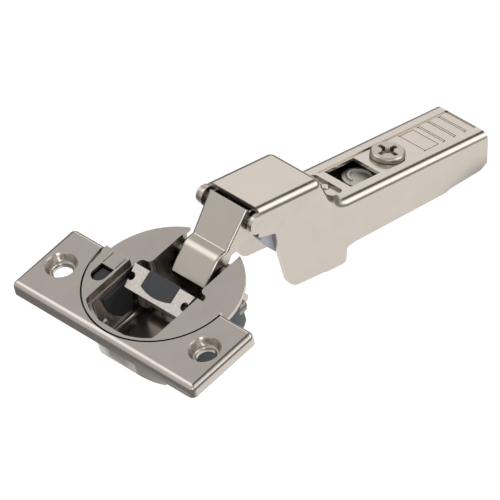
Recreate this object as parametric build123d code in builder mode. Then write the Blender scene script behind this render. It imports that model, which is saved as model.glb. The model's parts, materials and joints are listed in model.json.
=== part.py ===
from build123d import *
import math
import os

os.makedirs("parts", exist_ok=True)

# Concealed cup hinge, millimetres. The frame is the cup's: the origin is the centre of
# the 35 mm cup on the flange's top plane, +X runs along the line of the two door screws,
# +Y points to the arm and +Z points out of the cup. The hinge stands open by 110 degrees.

# Door side
bore_radius = 17.5
screw_spacing = 45.0
screw_setback = 9.5
screw_hole_radius = 2.3

# Flange plate
flange_length = 56.9
flange_front = -20.1
flange_back = 0.7
flange_height = 3.3
flange_sheet = 1.2
flange_corner = 1.4
flange_inner_corner = 0.6
flange_edge = 0.6
flange_front_roll = 2.0
dish_radius = 3.85
dish_floor_radius = 2.95
dish_depth = 1.9
dish_ledge = 0.35
boss_radius = 4.7

# Cup
rim_radius = 18.6
rim_sheet = 1.0
rim_wing_radius = 19.3
rim_wing_front = -18.6
rim_wing_back = 0.3
cup_depth = 12.9
cup_wall = 1.0
trough_half = 11.4
trough_front = -17.3
neck_half = 8.8
neck_back = 16.2
neck_start = 3.7
neck_turn_share = 0.48
front_roll = 6.5
back_roll = 3.5
side_roll = 1.3
back_wall_top = -6.6
neck_corner = 2.5
bore_clearance = 0.1

# Cover plate inside the flange's arc
arc_gap_radius = 18.5
cover_radius = 18.05
cover_sheet = 0.8
cover_wall = 0.6
opening_half = 10.6
opening_front = -16.8
opening_corner = 4.5
opening_reach = 17.35
relief_centre = (-21.5, -3.7)
relief_radius = 4.5
arc_lip = 0.6
strip_width = 0.25
strip_gap = 0.4

# Damping switch
switch_left = -15.1
switch_right = -11.35
switch_back = -3.9
switch_length = 4.55
switch_thick = 1.2
switch_gap = 0.12
switch_lift = 0.1
switch_edge = 0.3
switch_shoulder = 0.4

# Linkage, (y, z) in the cup and (along, up) in the arm
arm_y = 24.65
arm_z = 5.9
open_tilt = 20.0
outer_cup_pivot = (11.4, -8.6)
inner_cup_pivot = (12.8, -5.1)
outer_arm_pivot = (0.2, -3.7)
inner_arm_pivot = (8.0, -6.5)
arm_swing = 110.0
outer_swing = 124.0
inner_swing = 144.3
pin_radius = 1.3
cup_pin_radius = 1.15
running_fit = 0.05
link_gap = 0.15
pin_edge = 0.3
outer_pin_past_left = 1.4
outer_pin_past_right = 1.4
inner_pin_past = 0.7

# Outer link
link_sheet = 1.2
link_low_end = (6.9, -5.65)
link_joggle_low = (12.7, -0.9)
link_joggle_high = (15.35, -1.0)
link_top_end = (23.1, 6.0)
link_side_gap = 0.8
spring_space = 2.35
link_cup_eye = 2.3
link_arm_eye = 2.35
link_flare_short = 1.5
link_joggle_bend = 1.9
link_belly = (16.4, 18.3)

# Inner link
inner_half = 3.8
inner_cup_eye = 1.9
inner_rise = (17.2, -3.1)
inner_drop = (24.0, -3.1)
inner_depth = 2.3
inner_shoulder = (16.2, -1.95)
inner_lead = 1.1
slot_wall = 1.1

# Damping lever
lever_pivot = (1.0, -12.0)
lever_front = (-4.3, -3.2)
lever_pitch = 26.0
lever_length = 5.85
lever_side_gap = 0.19
lever_taper = 0.95
lever_sheet = 1.4
lever_notch_half = 4.75
lever_notch_floor = 1.95
lever_notch_sag = 0.95
lever_arm_sheet = 1.2
lever_eye = 2.1
lever_axle_radius = 1.1
lever_bite = 1.05
lever_bite_at = 2.85
pad_gap = 0.03
pad_thick = 1.0
pad_drop = 0.1
pad_past = 0.4
pad_flange = 1.1
pad_start = 0.4
pad_edge = 0.25
lever_arm_inset = 0.3
lever_arm_lap = 0.6
lever_arm_root = 1.8

# Damper sliders and housings, one at each side of the cup
slider_thick = 0.85
slider_fit = 0.06
slider_corner = 0.5
slider_outline = (
    (-9.8, -3.9),
    (-1.2, -3.8),
    (-1.2, -6.4),
    (-3.0, -12.6),
    (-6.1, -12.2),
    (-8.5, -9.7),
)
housing_front = -9.5
housing_back = 9.4
housing_floor = -12.4
housing_ceiling = -3.6
housing_wall = 0.9
housing_gap = 0.1
housing_edge = 0.4
damper_radius = 1.7
damper_length = 10.0
damper_height = -7.6
damper_cap_radius = 1.2
damper_cap_reach = 0.6
rivet_at = (-10.4, -10.8)
rivet_radius = 0.8
rivet_head = 0.45
rivet_head_radius = 1.1
rivet_edge = 0.35
rivet_depth = 2.2

# Hinge arm
arm_width = 16.9
arm_sheet = 1.2
arm_bend = 2.1
box_front = 0.5
box_length = 20.3
step_foot = 26.0
arm_step = 9.1
arm_length = 76.4
arm_eye = 2.45
crest_radius = 2.2
foot_radius = 7.0
panel_half = 4.75
panel_depth = 0.35
window_half = 4.2
window_start = 35.1
window_end = 44.8
side_screw_at = 51.6
side_screw_radius = 2.9
side_head_radius = 4.1
side_head_height = 1.4
side_head_edge = 0.35
side_head_seat = 0.05
side_screw_length = 6.4
driver_slot = 5.6
driver_width = 1.15
driver_core = 1.4
driver_depth = 1.3
driver_taper = 8.0
bar_half = 4.1
bar_depth = 0.2
bar_spots = (66.4, 69.9, 73.4)
bar_width = 0.8
bar_groove = 0.2
panel_start = 33.3
ledge_start = 27.8
ledge_end = 32.3
ledge_depth = 0.7
ledge_side = 0.5
ledge_corner = 1.2
side_screw_gap = 0.06
pin_head_radius = 2.2
pin_head_height = 1.0
cell_start = 59.8
cell_end = 64.5
ledge_rivet_at = (0.0, 30.9)
ledge_rivet_radius = 1.0
ledge_rivet_rise = 0.25
ledge_rivet_edge = 0.2

# Adapter channel, cam and latch inside the arm
adapter_gap = 0.15
adapter_sheet = 1.0
adapter_roof = -12.9
adapter_start = 24.5
adapter_end = 72.0
adapter_skirt = -20.0
adapter_foot = -27.2
adapter_foot_start = 25.5
adapter_foot_end = 32.0
adapter_slant = 3.0
adapter_corner = 0.7
cam_radius = 4.4
cam_at = 43.0
cam_thick = 1.0
cam_rim_height = 0.5
cam_stud_radius = 1.6
cam_rim_radius = 2.5
cam_rim_width = 0.8
cam_stud_past = 0.8
hook_pin_at = (28.6, -24.2)
hook_pin_radius = 1.5
latch_pivot = (61.5, -17.2)
latch_pin_radius = 1.2
latch_half = 4.6
latch_sheet = 1.0
latch_line = (
    (58.6, -15.6),
    (70.5, -16.0),
    (74.8, -17.2),
    (74.8, -18.2),
    (71.0, -17.9),
    (66.0, -19.6),
    (59.5, -21.6),
)
latch_hollow = ((50.0, -16.7), (69.5, -16.7), (73.0, -17.8), (73.0, -30.0), (50.0, -30.0))
latch_corner = 0.5

# Closing springs and the plastic saddle in the arm's nose
spring_wire = 0.7
spring_turns = 2
spring_facets = 4
spring_gap = 0.1
spring_clearance = 0.05
saddle_gap = 0.2
saddle_play = 0.8
saddle_bridge_at = 12.2
saddle_corner = 0.4
saddle_line = (
    (2.9, -6.2),
    (11.0, -6.2),
    (13.4, -8.0),
    (13.4, -16.4),
    (10.4, -16.4),
    (6.5, -13.3),
    (2.9, -9.6),
)

# Derived places
door_plane = -flange_height
rim_top = door_plane + rim_sheet
cup_floor = door_plane - cup_depth
tilt_sin = math.sin(math.radians(open_tilt))
tilt_cos = math.cos(math.radians(open_tilt))
arm_half = arm_width / 2
arm_inner = arm_half - arm_sheet
link_top_half = arm_inner - link_side_gap
link_low_half = neck_half - cup_wall - spring_space
saddle_half = arm_inner - saddle_gap
saddle_inner = inner_half + saddle_play
slider_face = trough_half - cup_wall - slider_fit
lever_back_half = slider_face - slider_thick - lever_side_gap
lever_front_half = lever_back_half - lever_taper
neck_turn = neck_turn_share * (trough_half - neck_half)
panel_floor = -arm_step - panel_depth
cut_past = 1.0
cut_long = arm_length
same = 0.01


def arm_side(x):
    """Plane across the arm at x, with local x along the arm and local y up from it."""
    return Plane(origin=(x, arm_y, arm_z), x_dir=(0, tilt_cos, -tilt_sin), z_dir=(1, 0, 0))


def arm_level(up):
    """Plane level with the arm, with local x across it and local y along it."""
    origin = (0, arm_y + up * tilt_sin, arm_z + up * tilt_cos)
    return Plane(origin=origin, x_dir=(1, 0, 0), z_dir=(0, tilt_sin, tilt_cos))


def in_cup(point):
    """Turn a place on the open arm into (y, z) of the cup."""
    along, up = point
    return (arm_y + along * tilt_cos + up * tilt_sin, arm_z - along * tilt_sin + up * tilt_cos)


def turned(point, centre, degrees):
    """Turn a (y, z) place about a centre."""
    turn = math.radians(degrees)
    dy = point[0] - centre[0]
    dz = point[1] - centre[1]
    y = centre[0] + dy * math.cos(turn) - dz * math.sin(turn)
    z = centre[1] + dy * math.sin(turn) + dz * math.cos(turn)
    return (y, z)


def rod(plane, centre, radius, length, mode=Mode.ADD):
    """Round bar or hole along a plane's normal."""
    with BuildSketch(plane) as disc:
        with Locations(centre):
            Circle(radius)
    extrude(disc.sketch, amount=length, mode=mode)


def eye_point(centre, radius, degrees):
    """A (y, z) place on an eye's rim."""
    turn = math.radians(degrees)
    return (centre[0] + radius * math.cos(turn), centre[1] + radius * math.sin(turn))


def inner_pin_play():
    """How far the arm's inner pin strays from its rest place, along and across the inner link."""
    start_outer = in_cup(outer_arm_pivot)
    start_inner = in_cup(inner_arm_pivot)
    reach = math.dist(start_inner, inner_cup_pivot)
    heading = math.atan2(start_inner[1] - inner_cup_pivot[1], start_inner[0] - inner_cup_pivot[0])
    along = []
    across = []
    steps = 48
    for step in range(steps + 1):
        share = step / steps
        outer_now = turned(start_outer, outer_cup_pivot, share * outer_swing)
        offset_y = start_inner[0] - start_outer[0]
        offset_z = start_inner[1] - start_outer[1]
        moved = (outer_now[0] + offset_y, outer_now[1] + offset_z)
        inner_now = turned(moved, outer_now, share * arm_swing)
        back = turned(inner_now, inner_cup_pivot, -share * inner_swing)
        dy = back[0] - inner_cup_pivot[0]
        dz = back[1] - inner_cup_pivot[1]
        along.append(dy * math.cos(heading) + dz * math.sin(heading) - reach)
        across.append(-dy * math.sin(heading) + dz * math.cos(heading))
    return min(along), max(along), min(across), max(across)


# Cup ------------------------------------------------------------------------------------

def trough_plan(inset):
    """Plan of the trough: wide in front, narrow behind, cut to the bore's circle."""
    with BuildSketch() as plan:
        wide_length = neck_start - trough_front - inset
        with Locations((0, (trough_front + inset + neck_start) / 2)):
            Rectangle(2 * (trough_half - inset), wide_length)
        neck_length = neck_back - inset
        with Locations((0, neck_length / 2)):
            Rectangle(2 * (neck_half - inset), neck_length)
        Circle(bore_radius - bore_clearance - inset, mode=Mode.INTERSECT)
        shoulders = [v for v in plan.vertices() if abs(v.Y - neck_start) < same]
        fillet(shoulders, neck_turn)
        ends = plan.vertices().filter_by(lambda v: abs(v.Y) > neck_start + 2 * neck_turn)
        fillet(ends, neck_corner - inset)
    return plan.sketch


def trough_solid(inset, floor):
    """The trough as a solid of its plan, rolled at the front, the back and the sides."""
    front = trough_front + inset
    back = neck_back - inset
    side = trough_half - inset
    with BuildPart() as block:
        with BuildSketch(Plane.XY.offset(floor)):
            add(trough_plan(inset))
        extrude(amount=rim_top - floor)
        with BuildSketch(Plane.YZ) as lengthwise:
            with BuildLine():
                Polyline((front, rim_top), (front, floor), (back, floor), (back, rim_top), close=True)
            make_face()
            fillet(lengthwise.vertices().group_by(Axis.Y)[0].sort_by(Axis.X)[0], front_roll - inset)
            fillet(lengthwise.vertices().group_by(Axis.Y)[0].sort_by(Axis.X)[-1], back_roll - inset)
        extrude(amount=bore_radius, both=True, mode=Mode.INTERSECT)
        with BuildSketch(Plane.XZ) as crosswise:
            with BuildLine():
                Polyline((-side, rim_top), (-side, floor), (side, floor), (side, rim_top), close=True)
            make_face()
            fillet(crosswise.vertices().group_by(Axis.Y)[0], side_roll + cup_wall - inset)
        extrude(amount=bore_radius, both=True, mode=Mode.INTERSECT)
    return block.part


with BuildPart() as cup_shell:
    with BuildSketch(Plane.XY.offset(door_plane)):
        Circle(rim_radius)
        with Locations((0, (rim_wing_front + rim_wing_back) / 2)):
            wing = Rectangle(2 * rim_wing_radius, rim_wing_back - rim_wing_front, mode=Mode.PRIVATE)
        add(wing & Circle(rim_wing_radius, mode=Mode.PRIVATE))
    extrude(amount=rim_sheet)
    add(trough_solid(0, cup_floor))
    add(trough_solid(cup_wall, cup_floor + cup_wall), mode=Mode.SUBTRACT)
    with BuildSketch(Plane.XY.offset(back_wall_top)):
        with Locations((0, rim_radius)):
            Rectangle(2 * (neck_half - cup_wall), 2 * (rim_radius - neck_back + 2 * cup_wall))
    extrude(amount=rim_top - back_wall_top, mode=Mode.SUBTRACT)
    rod(Plane.YZ.offset(-bore_radius), outer_cup_pivot, pin_radius, 2 * bore_radius, Mode.SUBTRACT)
    rod(Plane.YZ.offset(-bore_radius), inner_cup_pivot, cup_pin_radius, 2 * bore_radius, Mode.SUBTRACT)
    rod(Plane.YZ.offset(-trough_half), lever_pivot, lever_axle_radius, 2 * trough_half, Mode.SUBTRACT)
    rod(Plane.YZ.offset(-trough_half), rivet_at, rivet_radius, 2 * trough_half, Mode.SUBTRACT)
cup_shell.part.label = "cup_shell"
export_step(cup_shell.part, "parts/cup_shell.step")


def cover_plan(inset):
    """Plan of the cover: the disc inside the flange's arc, less the trough's opening."""
    back = flange_back - inset
    with BuildSketch() as plan:
        Circle(cover_radius - inset)
        with Locations((0, back + cover_radius)):
            Rectangle(2 * cover_radius, 2 * cover_radius, mode=Mode.SUBTRACT)
        with Locations(relief_centre):
            Circle(relief_radius + inset, mode=Mode.SUBTRACT)
        front = opening_front - inset
        half = opening_half + inset
        with BuildSketch(mode=Mode.SUBTRACT):
            with Locations((0, front + cover_radius)):
                RectangleRounded(2 * half, 2 * cover_radius, opening_corner + inset)
            Circle(opening_reach + inset, mode=Mode.INTERSECT)
            with Locations((0, cover_radius)):
                Rectangle(2 * half, 2 * cover_radius)
    return plan.sketch


def switch_plan(gap):
    """Plan of the thumb pad: flat behind and round in front."""
    left = switch_left - gap
    right = switch_right + gap
    back = switch_back + gap
    middle = (left + right) / 2
    nose = switch_back - switch_length - gap
    with BuildSketch() as plan:
        with BuildLine():
            shoulder = nose + (right - left) / 2 + switch_shoulder
            Polyline((left, shoulder), (left, back), (right, back), (right, shoulder))
            ThreePointArc((right, shoulder), (middle, nose), (left, shoulder))
        make_face()
    return plan.sketch


with BuildPart() as cup_cover:
    with BuildSketch(Plane.XY.offset(rim_top)):
        add(cover_plan(0))
    extrude(amount=-rim_top)
    with BuildSketch(Plane.XY.offset(rim_top)):
        add(cover_plan(cover_wall))
    extrude(amount=-rim_top - cover_sheet, mode=Mode.SUBTRACT)
    with BuildSketch(Plane.XY.offset(-cover_sheet)):
        add(switch_plan(switch_gap))
    extrude(amount=cover_sheet, mode=Mode.SUBTRACT)
    strip_start = switch_back + switch_gap + strip_gap
    strip_length = flange_back - cover_wall - strip_start
    strip_middle = strip_start + strip_length / 2
    with BuildSketch():
        with Locations((switch_left, strip_middle), (switch_right, strip_middle)):
            Rectangle(strip_width, strip_length)
    extrude(amount=-strip_width, mode=Mode.SUBTRACT)
cup_cover.part.label = "cup_cover"
export_step(cup_cover.part, "parts/cup_cover.step")

with BuildPart() as switch_slide:
    with BuildSketch(Plane.XY.offset(rim_top + switch_lift)):
        add(switch_plan(0))
    extrude(amount=switch_thick)
    chamfer(switch_slide.faces().sort_by(Axis.Z)[-1].edges(), switch_edge)
switch_slide.part.label = "switch_slide"
export_step(switch_slide.part, "parts/switch_slide.step")

# Flange ---------------------------------------------------------------------------------
screw_places = [(-screw_spacing / 2, -screw_setback), (screw_spacing / 2, -screw_setback)]

def rolled_block(length, front, back, bottom, top, corner, edge, roll):
    """Block along X with rounded corners, a rounded top edge and a larger roll along its front."""
    with BuildPart() as block:
        with BuildSketch(Plane.XY.offset(bottom)):
            with Locations((0, (front + back) / 2)):
                RectangleRounded(length, back - front, corner)
        extrude(amount=top - bottom)
        if edge > 0:
            fillet(block.faces().sort_by(Axis.Z)[-1].edges(), edge)
        with BuildSketch(Plane.YZ):
            with BuildLine():
                Polyline(
                    (front, top - roll),
                    (front - 1, top - roll),
                    (front - 1, top + 1),
                    (front + roll, top + 1),
                    (front + roll, top),
                )
                CenterArc((front + roll, top - roll), roll, 90, 90)
            make_face()
        extrude(amount=length, both=True, mode=Mode.SUBTRACT)
    return block.part


inner_length = flange_length - 2 * flange_sheet
inner_front = flange_front + flange_sheet
inner_back = flange_back - flange_sheet
inner_roll = flange_front_roll - flange_sheet
lip_radius = arc_gap_radius + arc_lip

with BuildPart() as flange_plate:
    add(
        rolled_block(
            flange_length,
            flange_front,
            flange_back,
            door_plane,
            0,
            flange_corner,
            flange_edge,
            flange_front_roll,
        )
    )
    add(
        rolled_block(
            inner_length,
            inner_front,
            inner_back,
            door_plane,
            -flange_sheet,
            flange_inner_corner,
            0,
            inner_roll,
        ),
        mode=Mode.SUBTRACT,
    )
    with BuildSketch(Plane.XY.offset(door_plane)):
        with Locations(*screw_places):
            Circle(boss_radius)
    extrude(amount=flange_height - flange_sheet)
    with BuildSketch(Plane.XY.offset(rim_top)):
        with BuildLine():
            half = lip_radius
            Polyline(
                (-half, inner_front),
                (half, inner_front),
                (half, inner_back),
                (-half, inner_back),
                close=True,
            )
        make_face()
        Circle(lip_radius, mode=Mode.INTERSECT)
    extrude(amount=-rim_top - flange_sheet)
    rod(Plane.XY.offset(rim_top), (0, 0), arc_gap_radius, -rim_top, Mode.SUBTRACT)
    rod(Plane.XY.offset(door_plane), (0, 0), rim_wing_radius + bore_clearance, rim_sheet, Mode.SUBTRACT)
    dish_mouth = dish_radius + cut_past * (dish_radius - dish_floor_radius) / dish_depth
    for place in screw_places:
        with BuildSketch(Plane.XZ.offset(-place[1])) as dish:
            with BuildLine():
                Polyline(
                    (place[0], cut_past),
                    (place[0] + dish_mouth, cut_past),
                    (place[0] + dish_floor_radius, -dish_depth),
                    (place[0] + dish_floor_radius - dish_ledge, -dish_depth),
                    (place[0] + screw_hole_radius, -dish_depth - dish_ledge),
                    (place[0] + screw_hole_radius, door_plane - cut_past),
                    (place[0], door_plane - cut_past),
                    close=True,
                )
            make_face()
        spin = Axis((place[0], place[1], 0), (0, 0, 1))
        revolve(dish.sketch, axis=spin, mode=Mode.SUBTRACT)
flange_plate.part.label = "flange_plate"
export_step(flange_plate.part, "parts/flange_plate.step")

# Cup pins and lever axle ----------------------------------------------------------------
inner_pin_reach = neck_half + inner_pin_past

outer_pin_left = neck_half + outer_pin_past_left
outer_pin_right = trough_half + outer_pin_past_right

with BuildPart() as outer_cup_pin:
    rod(Plane.YZ.offset(-outer_pin_left), outer_cup_pivot, pin_radius, outer_pin_left + outer_pin_right)
outer_cup_pin.part.label = "outer_cup_pin"
export_step(outer_cup_pin.part, "parts/outer_cup_pin.step")

with BuildPart() as inner_cup_pin:
    rod(Plane.YZ.offset(-inner_pin_reach), inner_cup_pivot, cup_pin_radius, 2 * inner_pin_reach)
inner_cup_pin.part.label = "inner_cup_pin"
export_step(inner_cup_pin.part, "parts/inner_cup_pin.step")

with BuildPart() as lever_axle:
    rod(Plane.YZ.offset(-trough_half), lever_pivot, lever_axle_radius, 2 * trough_half)
lever_axle.part.label = "lever_axle"
export_step(lever_axle.part, "parts/lever_axle.step")

# Damper sliders and housings -----------------------------------------------------------
housing_inside = trough_half + housing_gap


def housing_plan(inset):
    """Plan of a housing: the segment of the bore beside the trough."""
    with BuildSketch() as plan:
        inside = housing_inside + inset
        with Locations(((inside + bore_radius) / 2, (housing_front + housing_back) / 2)):
            Rectangle(bore_radius - inside, housing_back - housing_front - 2 * inset)
        Circle(bore_radius - 2 * bore_clearance - inset, mode=Mode.INTERSECT)
    return plan.sketch


with BuildPart() as housing_right:
    with BuildSketch(Plane.XY.offset(housing_floor)):
        add(housing_plan(0))
    extrude(amount=housing_ceiling - housing_floor)
    fillet(housing_right.edges().filter_by(Axis.Z), housing_edge)
    damper_x = housing_inside + housing_wall + damper_radius
    damper_plane = Plane(origin=(damper_x, housing_back, damper_height), x_dir=(1, 0, 0), z_dir=(0, -1, 0))
    rod(damper_plane, (0, 0), damper_radius, damper_length, Mode.SUBTRACT)
    rod(Plane.YZ.offset(trough_half), rivet_at, rivet_radius, rivet_depth, Mode.SUBTRACT)
    rod(Plane.YZ.offset(trough_half), outer_cup_pivot, pin_radius, bore_radius, Mode.SUBTRACT)
    rod(Plane.YZ.offset(trough_half), lever_pivot, lever_axle_radius, cup_wall, Mode.SUBTRACT)

with BuildPart() as damper_right:
    rod(damper_plane, (0, 0), damper_radius, damper_length)
    rod(damper_plane, (0, 0), damper_cap_radius, -damper_cap_reach)

with BuildPart() as slider_right:
    with BuildSketch(Plane.YZ.offset(slider_face - slider_thick)) as slider_side:
        with BuildLine():
            Polyline(*slider_outline, close=True)
        make_face()
        fillet(slider_side.vertices(), slider_corner)
    extrude(amount=slider_thick)

with BuildPart() as rivet_right:
    rod(Plane.YZ.offset(trough_half - cup_wall - rivet_head), rivet_at, rivet_head_radius, rivet_head)
    chamfer(rivet_right.edges().sort_by(Axis.X)[0], rivet_edge)
    rod(Plane.YZ.offset(trough_half - cup_wall), rivet_at, rivet_radius, cup_wall + rivet_depth)

sides = {
    "housing": housing_right.part,
    "damper": damper_right.part,
    "slider": slider_right.part,
    "rivet": rivet_right.part,
}
for name, piece in sides.items():
    piece.label = name + "_right"
    export_step(piece, "parts/" + name + "_right.step")
    other = mirror(piece, about=Plane.YZ)
    other.label = name + "_left"
    export_step(other, "parts/" + name + "_left.step")

# Damping lever --------------------------------------------------------------------------
lever_plane = Plane(
    origin=(0, lever_front[0], lever_front[1]),
    x_dir=(1, 0, 0),
    z_dir=(0, -math.sin(math.radians(lever_pitch)), math.cos(math.radians(lever_pitch))),
)


def on_lever(along, below):
    """(y, z) of a place on the lever's plate, along it and below its face."""
    pitch = math.radians(lever_pitch)
    y = lever_front[0] + along * math.cos(pitch) + below * math.sin(pitch)
    z = lever_front[1] + along * math.sin(pitch) - below * math.cos(pitch)
    return (y, z)


def notch_plan(gap, back):
    """Plan of the lever's notch, or of the pad in it."""
    half = lever_notch_half - gap
    floor = lever_notch_floor + gap
    with BuildSketch() as plan:
        with BuildLine():
            Polyline((-half, floor), (-half, back), (half, back), (half, floor))
            ThreePointArc((half, floor), (0, floor - lever_notch_sag), (-half, floor))
        make_face()
    return plan.sketch


with BuildPart() as damper_lever:
    with BuildSketch(lever_plane):
        with BuildLine():
            Polyline(
                (-lever_front_half, 0),
                (lever_front_half, 0),
                (lever_back_half, lever_length),
                (-lever_back_half, lever_length),
                close=True,
            )
        make_face()
        with Locations((-lever_front_half, lever_bite_at), (lever_front_half, lever_bite_at)):
            Circle(lever_bite, mode=Mode.SUBTRACT)
        add(notch_plan(0, lever_length + 1), mode=Mode.SUBTRACT)
    extrude(amount=-lever_sheet)
    arm_outer = lever_back_half - lever_arm_inset
    for inner in (-arm_outer, arm_outer - lever_arm_sheet):
        with BuildSketch(Plane.YZ.offset(inner)) as lever_side:
            with BuildLine():
                Polyline(
                    on_lever(lever_length - lever_arm_root, lever_arm_lap),
                    on_lever(lever_length, lever_arm_lap),
                    (lever_pivot[0] + lever_eye, lever_pivot[1]),
                    (lever_pivot[0] - lever_eye, lever_pivot[1]),
                    close=True,
                )
            make_face()
            with Locations(lever_pivot):
                Circle(lever_eye)
        extrude(lever_side.sketch, amount=lever_arm_sheet)
    hole = lever_axle_radius + running_fit
    rod(Plane.YZ.offset(-trough_half), lever_pivot, hole, 2 * trough_half, Mode.SUBTRACT)
damper_lever.part.label = "damper_lever"
export_step(damper_lever.part, "parts/damper_lever.step")

with BuildPart() as lever_pad:
    with BuildSketch(lever_plane.offset(-pad_drop)):
        add(notch_plan(pad_gap, lever_length + pad_past))
    extrude(amount=-lever_sheet + pad_drop)
    fillet(lever_pad.faces().sort_by(Axis.Z)[-1].edges(), pad_edge)
    with BuildSketch(lever_plane.offset(-lever_sheet)):
        pad_length = lever_length - 2 * pad_start
        with Locations((0, (lever_length + lever_notch_floor - pad_start) / 2)):
            Rectangle(2 * (lever_notch_half + pad_flange), pad_length)
    extrude(amount=-pad_thick)
lever_pad.part.label = "lever_pad"
export_step(lever_pad.part, "parts/lever_pad.step")

# Outer link -----------------------------------------------------------------------------
outer_arm_place = in_cup(outer_arm_pivot)
inner_arm_place = in_cup(inner_arm_pivot)
link_slope = math.atan2(link_top_end[1] - link_low_end[1], link_top_end[0] - link_low_end[0])
link_length = math.dist(link_low_end, link_top_end)
pin_sweep = math.dist(outer_cup_pivot, inner_cup_pivot) + cup_pin_radius + link_gap
link_plane = Plane(
    origin=(0, link_low_end[0], link_low_end[1]),
    x_dir=(1, 0, 0),
    z_dir=(0, -math.sin(link_slope), math.cos(link_slope)),
)


def link_plan(inset):
    """Plan of the outer link: parallel at the cup, wider towards the arm."""
    low = link_low_half - inset
    top = link_top_half - inset
    neck = math.dist(link_low_end, link_joggle_high)
    with BuildSketch() as plan:
        with BuildLine():
            Polyline(
                (low, -cut_long),
                (low, neck),
                (top, link_length - link_flare_short),
                (top, cut_long),
                (-top, cut_long),
                (-top, link_length - link_flare_short),
                (-low, neck),
                (-low, -cut_long),
                close=True,
            )
        make_face()
    return plan.sketch


with BuildPart() as outer_link:
    with BuildSketch(Plane.YZ.offset(-link_top_half)) as link_side:
        with BuildLine():
            Polyline(
                link_low_end,
                link_joggle_low,
                link_joggle_high,
                link_top_end,
                outer_arm_place,
                eye_point(outer_arm_place, link_arm_eye, -48),
                (link_belly[1], door_plane + link_gap),
                (link_belly[0], door_plane + link_gap),
                outer_cup_pivot,
                eye_point(outer_cup_pivot, link_cup_eye, -143),
                close=True,
            )
        make_face()
        with BuildSketch(mode=Mode.SUBTRACT):
            with Locations(outer_cup_pivot):
                Circle(pin_sweep)
                with Locations((-pin_sweep, 0)):
                    Rectangle(2 * pin_sweep, 2 * pin_sweep, mode=Mode.SUBTRACT)
        with Locations(outer_cup_pivot):
            Circle(link_cup_eye)
        with Locations(outer_arm_place):
            Circle(link_arm_eye)
    extrude(amount=2 * link_top_half)
    with BuildSketch(link_plane.offset(-cut_long / 2)):
        add(link_plan(link_sheet))
    extrude(amount=cut_long, mode=Mode.SUBTRACT)
    with BuildSketch(Plane.YZ.offset(-link_top_half)) as link_web:
        with BuildLine():
            link_top = (link_low_end, link_joggle_low, link_joggle_high, link_top_end)
            FilletPolyline(*link_top, radius=link_joggle_bend)
            offset(amount=link_sheet, side=Side.RIGHT)
        make_face()
    extrude(amount=2 * link_top_half)
    with BuildSketch(link_plane.offset(-cut_long / 2)):
        add(link_plan(0))
    extrude(amount=cut_long, mode=Mode.INTERSECT)
    turning = pin_radius + running_fit
    rod(Plane.YZ.offset(-bore_radius), outer_cup_pivot, turning, 2 * bore_radius, Mode.SUBTRACT)
    rod(Plane.YZ.offset(-bore_radius), outer_arm_place, turning, 2 * bore_radius, Mode.SUBTRACT)
outer_link.part.label = "outer_link"
export_step(outer_link.part, "parts/outer_link.step")

# Inner link -----------------------------------------------------------------------------
play_back, play_out, play_down, play_up = inner_pin_play()
slot_gap = pin_radius + link_gap
slot_length = play_out - play_back + 2 * slot_gap
slot_height = play_up - play_down + 2 * slot_gap
slot_heading = math.degrees(
    math.atan2(inner_arm_place[1] - inner_cup_pivot[1], inner_arm_place[0] - inner_cup_pivot[0])
)
slot_shift = ((play_back + play_out) / 2, (play_down + play_up) / 2)
slot_turn = math.radians(slot_heading)
slot_centre = (
    inner_arm_place[0] + slot_shift[0] * math.cos(slot_turn) - slot_shift[1] * math.sin(slot_turn),
    inner_arm_place[1] + slot_shift[0] * math.sin(slot_turn) + slot_shift[1] * math.cos(slot_turn),
)


def slot_point(along, up):
    """A place given from the slot's centre, along and across the inner link."""
    y = slot_centre[0] + along * math.cos(slot_turn) - up * math.sin(slot_turn)
    z = slot_centre[1] + along * math.sin(slot_turn) + up * math.cos(slot_turn)
    return (y, z)


with BuildPart() as inner_link:
    with BuildSketch(Plane.YZ.offset(-inner_half)) as inner_side:
        with BuildLine():
            end_half = slot_height / 2 + slot_wall
            Polyline(
                eye_point(inner_cup_pivot, inner_cup_eye, 105),
                inner_shoulder,
                (inner_rise[0] + inner_lead, inner_rise[1] + inner_depth),
                (inner_drop[0], inner_drop[1] + inner_depth),
                slot_point(0, end_half),
                slot_point(0, -end_half),
                inner_drop,
                inner_rise,
                eye_point(inner_cup_pivot, inner_cup_eye, -50),
                close=True,
            )
        make_face()
        with Locations(inner_cup_pivot):
            Circle(inner_cup_eye)
        with Locations(Location((slot_centre[0], slot_centre[1], 0), (0, 0, slot_heading))):
            RectangleRounded(slot_length + 2 * slot_wall, slot_height + 2 * slot_wall, slot_gap + slot_wall)
            RectangleRounded(slot_length, slot_height, slot_gap, mode=Mode.SUBTRACT)
    extrude(amount=2 * inner_half)
    with BuildSketch(Plane.YZ.offset(-inner_half + link_sheet)):
        web_below = inner_drop[1] + inner_depth - link_sheet
        with Locations((inner_cup_pivot[0], web_below - cut_long / 2)):
            Rectangle(2 * cut_long, cut_long)
    extrude(amount=2 * (inner_half - link_sheet), mode=Mode.SUBTRACT)
    turning = cup_pin_radius + running_fit
    rod(Plane.YZ.offset(-bore_radius), inner_cup_pivot, turning, 2 * bore_radius, Mode.SUBTRACT)
inner_link.part.label = "inner_link"
export_step(inner_link.part, "parts/inner_link.step")

# Hinge arm ------------------------------------------------------------------------------
wall_line = (
    (box_front, -7.3),
    (6.1, -8.3),
    (8.1, -14.5),
    (12.6, -25.4),
    (30.9, -25.8),
    (30.9, -21.8),
    (33.5, -21.3),
    (63.2, -20.1),
    (65.2, -19.5),
    (75.0, -18.5),
    (77.0, -17.2),
)
wall_rounds = (0.4, 8.0, 4.6, 0.8, 0.8, 0.8, 0.8, 0.8, 0.8)


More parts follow.
